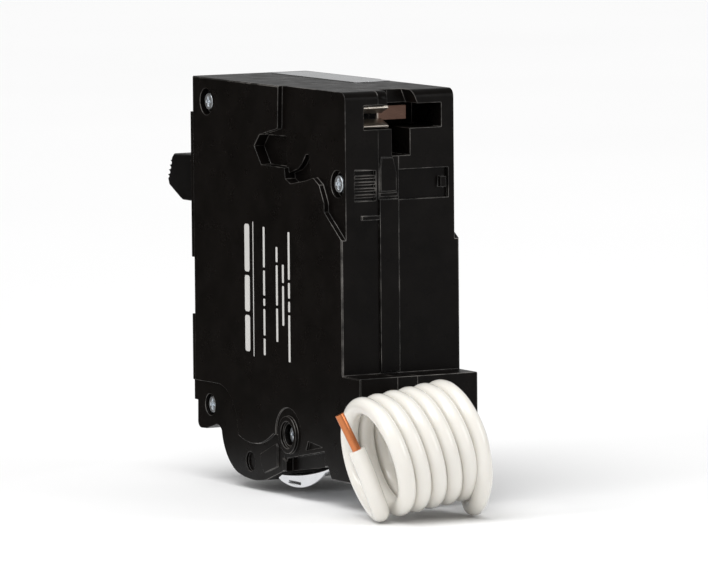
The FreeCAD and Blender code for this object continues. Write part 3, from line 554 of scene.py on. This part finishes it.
def make_print():
    """Plain unlettered bars in pale ink on the label side."""
    work = bmesh.new()
    for centre, height, runs in PRINT:
        for low, high in runs:
            half = height / 2
            radius = min(half, (high - low) / 2) * CORNER_SHARE
            outline = []
            for y, z, start in ((half, high, 0), (-half, high, 90), (-half, low, 180), (half, low, 270)):
                mid_y = centre + math.copysign(half - radius, y)
                mid_z = z - math.copysign(radius, z - (low + high) / 2)
                for step in range(CORNER_POINTS):
                    angle = math.radians(start + step * CORNER_STEP)
                    outline.append(at(INK_FACE, mid_y + radius * math.cos(angle),
                                      mid_z + radius * math.sin(angle)))
            face = work.faces.new([work.verts.new(point) for point in outline])
            if face.normal.x < 0:
                face.normal_flip()
            grown = bmesh.ops.extrude_face_region(work, geom=[face])
            verts = [item for item in grown["geom"] if isinstance(item, bmesh.types.BMVert)]
            bmesh.ops.translate(work, verts=verts, vec=(-INK_THICK, 0, 0))
    bmesh.ops.recalc_face_normals(work, faces=work.faces)
    mesh = bpy.data.meshes.new("side_print")
    work.to_mesh(mesh)
    work.free()
    piece = mesh_piece("side_print", mesh)
    ink = plastic("ink", (0.56, 0.55, 0.53), rough=(0.4, 0.55), spread=0.03, grain=5000.0)
    piece.data.materials.append(ink)
    settle(piece, "white_vinyl")


make_print()

# ------------------------------------------------------------------- light and floor

FLOOR_HALF = 6.0
FLOOR_GAP = 0.0002
WORLD_STRENGTH = 0.45
SUN_STRENGTH = 2.15
SUN_SPREAD = math.radians(50)
LIGHT_AIM = (0, -0.02, 0.04)
LIGHT_SIZE = (0.20, 0.5)
LIGHT_POWER = 1.6
FLAG_NEAR, FLAG_FAR, FLAG_HALF, FLAG_HEIGHT = 0.09, 0.60, 0.35, 0.40
FLAG_TAPER = 0.35        # the near end's width, as a share of the far end's


def make_sun(direction):
    """A wide, soft sun."""
    data = bpy.data.lights.new("sun", "SUN")
    data.energy = SUN_STRENGTH
    data.angle = SUN_SPREAD
    sun = bpy.data.objects.new("sun", data)
    bpy.context.scene.collection.objects.link(sun)
    sun.rotation_euler = Vector(direction).to_track_quat("Z", "Y").to_euler()


def make_stage():
    """The pale floor just under the object, and the white surroundings."""
    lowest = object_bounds()[0][2]
    corners = [(x * FLOOR_HALF, y * FLOOR_HALF, 0) for x, y in ((-1, -1), (1, -1), (1, 1), (-1, 1))]
    mesh = bpy.data.meshes.new("floor")
    mesh.from_pydata(corners, [], [(0, 1, 2, 3)])
    floor = mesh_piece("floor", mesh)
    floor.location.z = lowest - FLOOR_GAP
    material, tree, shader = node_tree("floor")
    tone = ramp(tree, noise(tree, 3.0, 2.0), [(0.3, (0.90, 0.90, 0.90)), (0.7, (0.92, 0.92, 0.92))])
    tree.links.new(tone, shader.inputs["Base Color"])
    shader.inputs["Roughness"].default_value = 0.9
    floor.data.materials.append(material)
    floor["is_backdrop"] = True
    world = bpy.data.worlds.new("studio")
    world.use_nodes = True
    world.node_tree.nodes["Background"].inputs["Color"].default_value = (1.0, 1.0, 1.0, 1.0)
    world.node_tree.nodes["Background"].inputs["Strength"].default_value = WORLD_STRENGTH
    bpy.context.scene.world = world
    bpy.context.scene.view_settings.view_transform = "Standard"


def make_light(name, place):
    """A soft box at a place, turned to the object."""
    data = bpy.data.lights.new(name, "AREA")
    data.shape = "RECTANGLE"
    data.size, data.size_y = LIGHT_SIZE
    data.energy = LIGHT_POWER
    light = bpy.data.objects.new(name, data)
    bpy.context.scene.collection.objects.link(light)
    place = Vector(place)
    light.location = place
    light.rotation_euler = (place - Vector(LIGHT_AIM)).to_track_quat("Z", "Y").to_euler()


def make_flag():
    """A dark card that only reflections see, so that the label side mirrors it and not the bright floor."""
    toward = Vector((math.sin(AZIMUTH), math.cos(AZIMUTH), 0.0))
    across = Vector((-toward.y, toward.x, 0.0))
    ground = Vector((0.0, 0.0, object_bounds()[0][2]))
    near, far = toward * FLAG_NEAR, toward * FLAG_FAR
    half = across * FLAG_HALF
    rise = Vector((0.0, 0.0, FLAG_HEIGHT))
    slim = half * FLAG_TAPER
    corners = [near - slim, near + slim, far + half, far - half, far + half + rise, far - half + rise]
    mesh = bpy.data.meshes.new("flag")
    mesh.from_pydata([ground + corner for corner in corners], [], [(0, 1, 2, 3), (3, 2, 4, 5)])
    flag = mesh_piece("flag", mesh)
    material, tree, shader = node_tree("flag_cloth")
    tone = ramp(tree, noise(tree, 40.0, 3.0), [(0.3, (0.10, 0.09, 0.08)), (0.7, (0.13, 0.12, 0.11))])
    tree.links.new(tone, shader.inputs["Base Color"])
    shader.inputs["Roughness"].default_value = 1.0
    shader.inputs["Specular IOR Level"].default_value = 0.0
    mesh.materials.append(material)
    flag.visible_camera = False
    flag.visible_diffuse = False
    flag.visible_shadow = False
    flag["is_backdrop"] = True


make_stage()
make_flag()
make_sun((0.35, 0.25, 1.0))
make_light("left_box", (0.80, 0.10, 0.35))
make_light("right_box", (-0.55, 0.75, 0.35))
